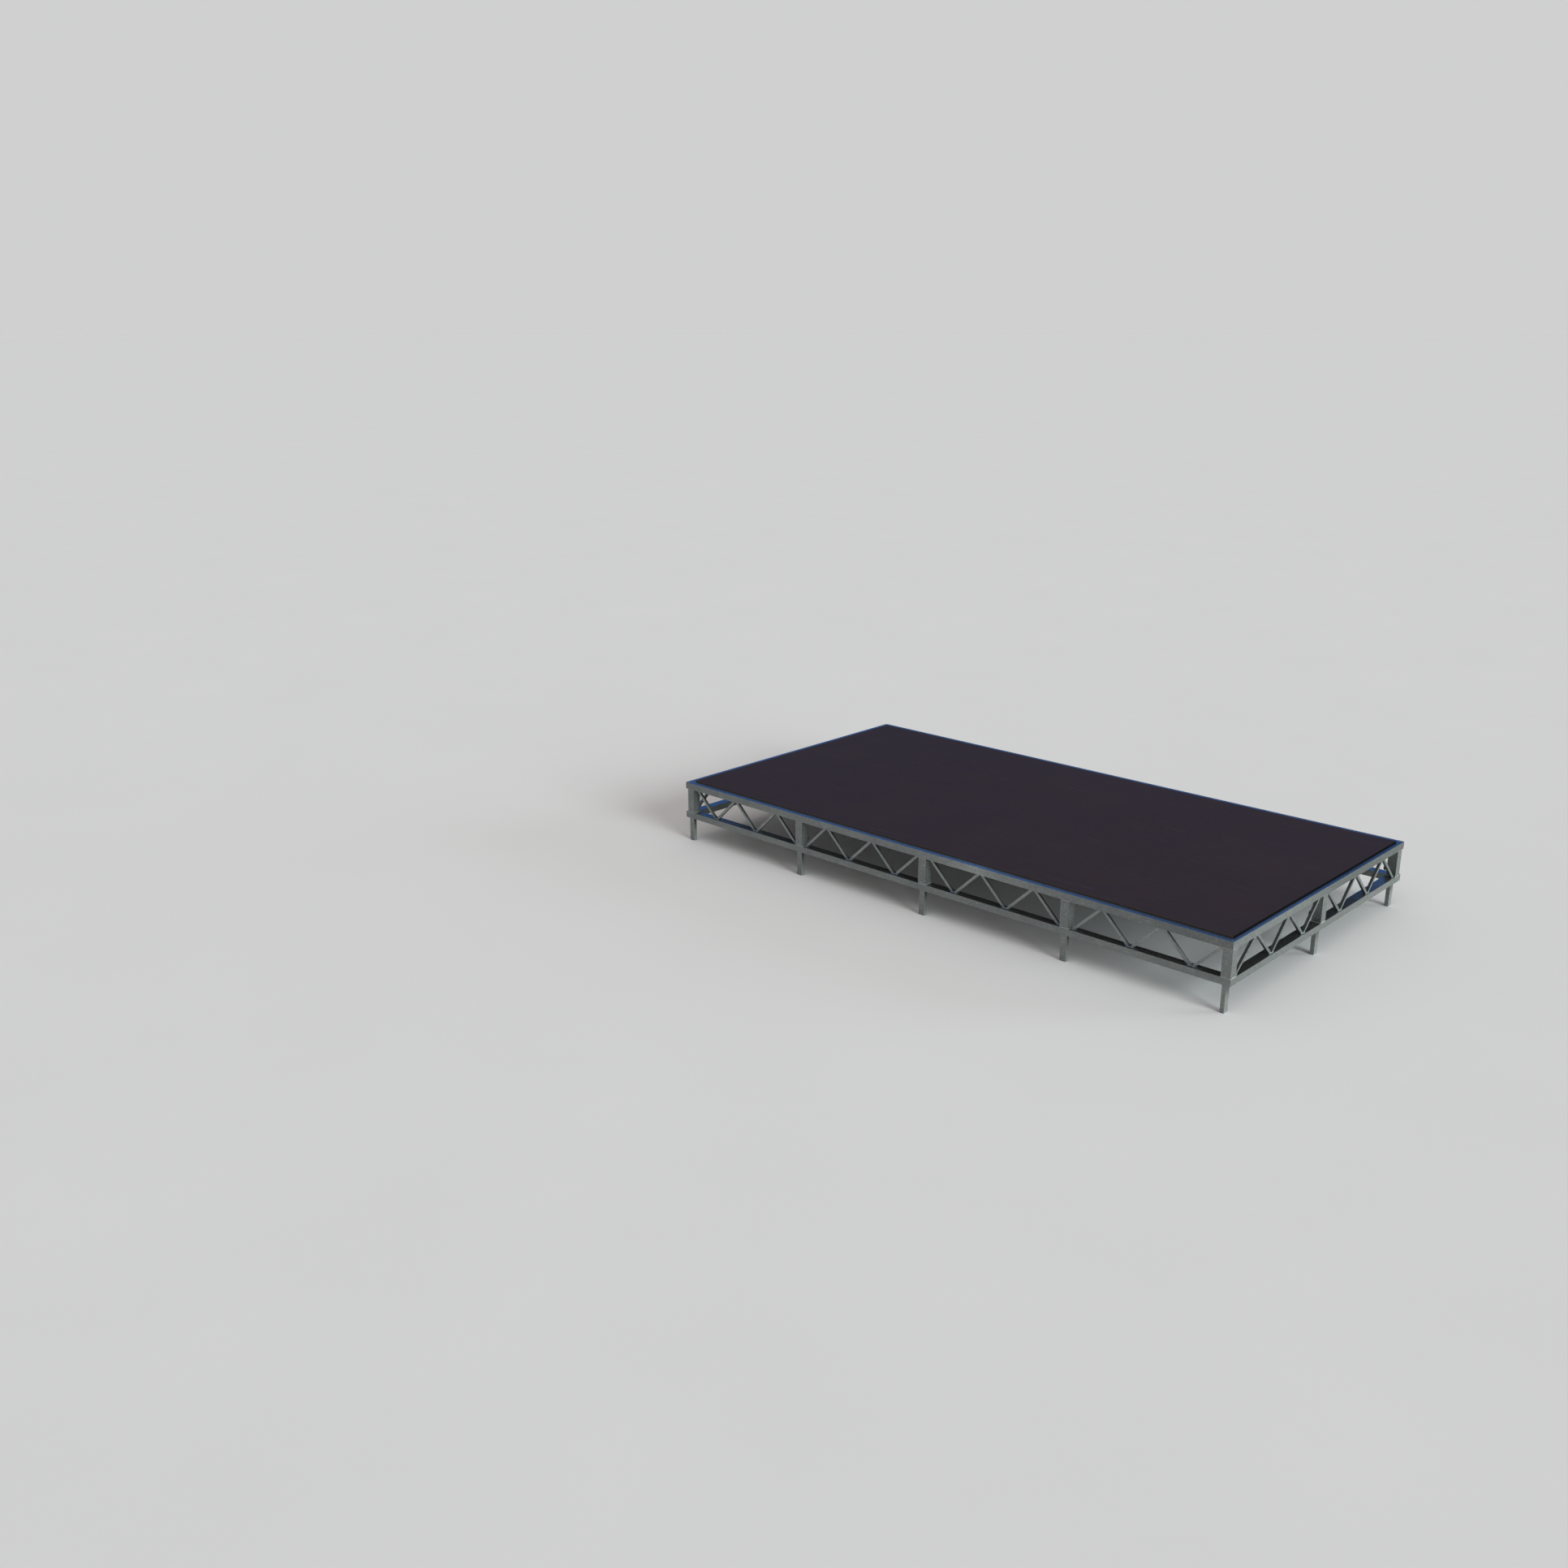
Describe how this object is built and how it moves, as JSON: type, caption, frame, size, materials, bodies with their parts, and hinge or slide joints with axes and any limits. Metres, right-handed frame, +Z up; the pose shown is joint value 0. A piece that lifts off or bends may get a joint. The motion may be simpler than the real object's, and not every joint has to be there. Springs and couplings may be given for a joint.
{
  "type": "portable stage platform",
  "caption": "Portable stage platform: a flat rectangular deck on lattice side trusses, with telescopic legs that slide in the truss posts and lock with hand screws.",
  "frame": {"origin": "on the ground, under the middle of the platform", "axes": "+X along the long side, to the right when facing the front; -Y is the front long side; +Z up"},
  "size_m": [5, 2.63, 0.5173],
  "materials": {
    "frame_metal": "mill finish, faintly speckled, satin",
    "deck_ply": "dark phenolic film on plywood, fine anti-slip texture",
    "foot_cap": "cast cap, scuffed and dull",
    "clamp_plastic": "fine grained"
  },
  "bodies": {
    "frame": {"truss_front": "frame_metal", "truss_right": "frame_metal", "truss_back": "frame_metal", "truss_left": "frame_metal", "top_chord_front": "frame_metal", "top_chord_right": "frame_metal", "top_chord_back": "frame_metal", "top_chord_left": "frame_metal", "cross_joist_1": "frame_metal", "cross_joist_2": "frame_metal", "cross_joist_3": "frame_metal", "cross_joist_4": "frame_metal", "cross_joist_5": "frame_metal", "cross_joist_6": "frame_metal", "cross_joist_7": "frame_metal", "deck_panel_1": "deck_ply", "deck_panel_2": "deck_ply", "deck_panel_3": "deck_ply", "deck_panel_4": "deck_ply"},
    "leg_assembly_front_1": {"leg_front_1": "frame_metal", "foot_front_1": "foot_cap"},
    "clamp_screw_front_1": {"clamp_front_1": "clamp_plastic"},
    "leg_assembly_front_2": {"leg_front_2": "frame_metal", "foot_front_2": "foot_cap"},
    "clamp_screw_front_2": {"clamp_front_2": "clamp_plastic"},
    "leg_assembly_front_3": {"leg_front_3": "frame_metal", "foot_front_3": "foot_cap"},
    "clamp_screw_front_3": {"clamp_front_3": "clamp_plastic"},
    "leg_assembly_front_4": {"leg_front_4": "frame_metal", "foot_front_4": "foot_cap"},
    "clamp_screw_front_4": {"clamp_front_4": "clamp_plastic"},
    "leg_assembly_front_5": {"leg_front_5": "frame_metal", "foot_front_5": "foot_cap"},
    "clamp_screw_front_5": {"clamp_front_5": "clamp_plastic"},
    "leg_assembly_right_mid": {"leg_right_mid": "frame_metal", "foot_right_mid": "foot_cap"},
    "clamp_screw_right_mid": {"clamp_right_mid": "clamp_plastic"},
    "leg_assembly_back_1": {"leg_back_1": "frame_metal", "foot_back_1": "foot_cap"},
    "clamp_screw_back_1": {"clamp_back_1": "clamp_plastic"},
    "leg_assembly_back_2": {"leg_back_2": "frame_metal", "foot_back_2": "foot_cap"},
    "clamp_screw_back_2": {"clamp_back_2": "clamp_plastic"},
    "leg_assembly_back_3": {"leg_back_3": "frame_metal", "foot_back_3": "foot_cap"},
    "clamp_screw_back_3": {"clamp_back_3": "clamp_plastic"},
    "leg_assembly_back_4": {"leg_back_4": "frame_metal", "foot_back_4": "foot_cap"},
    "clamp_screw_back_4": {"clamp_back_4": "clamp_plastic"},
    "leg_assembly_back_5": {"leg_back_5": "frame_metal", "foot_back_5": "foot_cap"},
    "clamp_screw_back_5": {"clamp_back_5": "clamp_plastic"},
    "leg_assembly_left_mid": {"leg_left_mid": "frame_metal", "foot_left_mid": "foot_cap"},
    "clamp_screw_left_mid": {"clamp_left_mid": "clamp_plastic"}
  },
  "joints": [
    {"name": "leg_slide_front_1", "type": "slide", "parent": "frame", "child": "leg_assembly_front_1", "axis": [0, 0, 1], "range_m": [-0.06, 0.07]},
    {"name": "clamp_turn_front_1", "type": "hinge", "parent": "frame", "child": "clamp_screw_front_1", "pos_m": [-2.4435, -1.2425, 0.29], "axis": [0, 1, 0], "range_deg": [0, 360]},
    {"name": "leg_slide_front_2", "type": "slide", "parent": "frame", "child": "leg_assembly_front_2", "axis": [0, 0, 1], "range_m": [-0.06, 0.07]},
    {"name": "clamp_turn_front_2", "type": "hinge", "parent": "frame", "child": "clamp_screw_front_2", "pos_m": [-1.21, -1.2425, 0.29], "axis": [0, 1, 0], "range_deg": [0, 360]},
    {"name": "leg_slide_front_3", "type": "slide", "parent": "frame", "child": "leg_assembly_front_3", "axis": [0, 0, 1], "range_m": [-0.06, 0.07]},
    {"name": "clamp_turn_front_3", "type": "hinge", "parent": "frame", "child": "clamp_screw_front_3", "pos_m": [0.023, -1.2425, 0.29], "axis": [0, 1, 0], "range_deg": [0, 360]},
    {"name": "leg_slide_front_4", "type": "slide", "parent": "frame", "child": "leg_assembly_front_4", "axis": [0, 0, 1], "range_m": [-0.06, 0.07]},
    {"name": "clamp_turn_front_4", "type": "hinge", "parent": "frame", "child": "clamp_screw_front_4", "pos_m": [1.257, -1.2425, 0.29], "axis": [0, 1, 0], "range_deg": [0, 360]},
    {"name": "leg_slide_front_5", "type": "slide", "parent": "frame", "child": "leg_assembly_front_5", "axis": [0, 0, 1], "range_m": [-0.06, 0.07]},
    {"name": "clamp_turn_front_5", "type": "hinge", "parent": "frame", "child": "clamp_screw_front_5", "pos_m": [2.4525, -1.2425, 0.29], "axis": [0, 1, 0], "range_deg": [0, 360]},
    {"name": "leg_slide_right_mid", "type": "slide", "parent": "frame", "child": "leg_assembly_right_mid", "axis": [0, 0, 1], "range_m": [-0.06, 0.07]},
    {"name": "clamp_turn_right_mid", "type": "hinge", "parent": "frame", "child": "clamp_screw_right_mid", "pos_m": [2.4275, 0.006, 0.29], "axis": [-1, 0, 0], "range_deg": [0, 360]},
    {"name": "leg_slide_back_1", "type": "slide", "parent": "frame", "child": "leg_assembly_back_1", "axis": [0, 0, 1], "range_m": [-0.06, 0.07]},
    {"name": "clamp_turn_back_1", "type": "hinge", "parent": "frame", "child": "clamp_screw_back_1", "pos_m": [-2.4435, 1.2425, 0.29], "axis": [0, -1, 0], "range_deg": [0, 360]},
    {"name": "leg_slide_back_2", "type": "slide", "parent": "frame", "child": "leg_assembly_back_2", "axis": [0, 0, 1], "range_m": [-0.06, 0.07]},
    {"name": "clamp_turn_back_2", "type": "hinge", "parent": "frame", "child": "clamp_screw_back_2", "pos_m": [-1.21, 1.2425, 0.29], "axis": [0, -1, 0], "range_deg": [0, 360]},
    {"name": "leg_slide_back_3", "type": "slide", "parent": "frame", "child": "leg_assembly_back_3", "axis": [0, 0, 1], "range_m": [-0.06, 0.07]},
    {"name": "clamp_turn_back_3", "type": "hinge", "parent": "frame", "child": "clamp_screw_back_3", "pos_m": [0.023, 1.2425, 0.29], "axis": [0, -1, 0], "range_deg": [0, 360]},
    {"name": "leg_slide_back_4", "type": "slide", "parent": "frame", "child": "leg_assembly_back_4", "axis": [0, 0, 1], "range_m": [-0.06, 0.07]},
    {"name": "clamp_turn_back_4", "type": "hinge", "parent": "frame", "child": "clamp_screw_back_4", "pos_m": [1.257, 1.2425, 0.29], "axis": [0, -1, 0], "range_deg": [0, 360]},
    {"name": "leg_slide_back_5", "type": "slide", "parent": "frame", "child": "leg_assembly_back_5", "axis": [0, 0, 1], "range_m": [-0.06, 0.07]},
    {"name": "clamp_turn_back_5", "type": "hinge", "parent": "frame", "child": "clamp_screw_back_5", "pos_m": [2.4275, 1.26, 0.29], "axis": [-1, 0, 0], "range_deg": [0, 360]},
    {"name": "leg_slide_left_mid", "type": "slide", "parent": "frame", "child": "leg_assembly_left_mid", "axis": [0, 0, 1], "range_m": [-0.06, 0.07]},
    {"name": "clamp_turn_left_mid", "type": "hinge", "parent": "frame", "child": "clamp_screw_left_mid", "pos_m": [-2.4275, 0.006, 0.29], "axis": [1, 0, 0], "range_deg": [0, 360]}
  ]
}
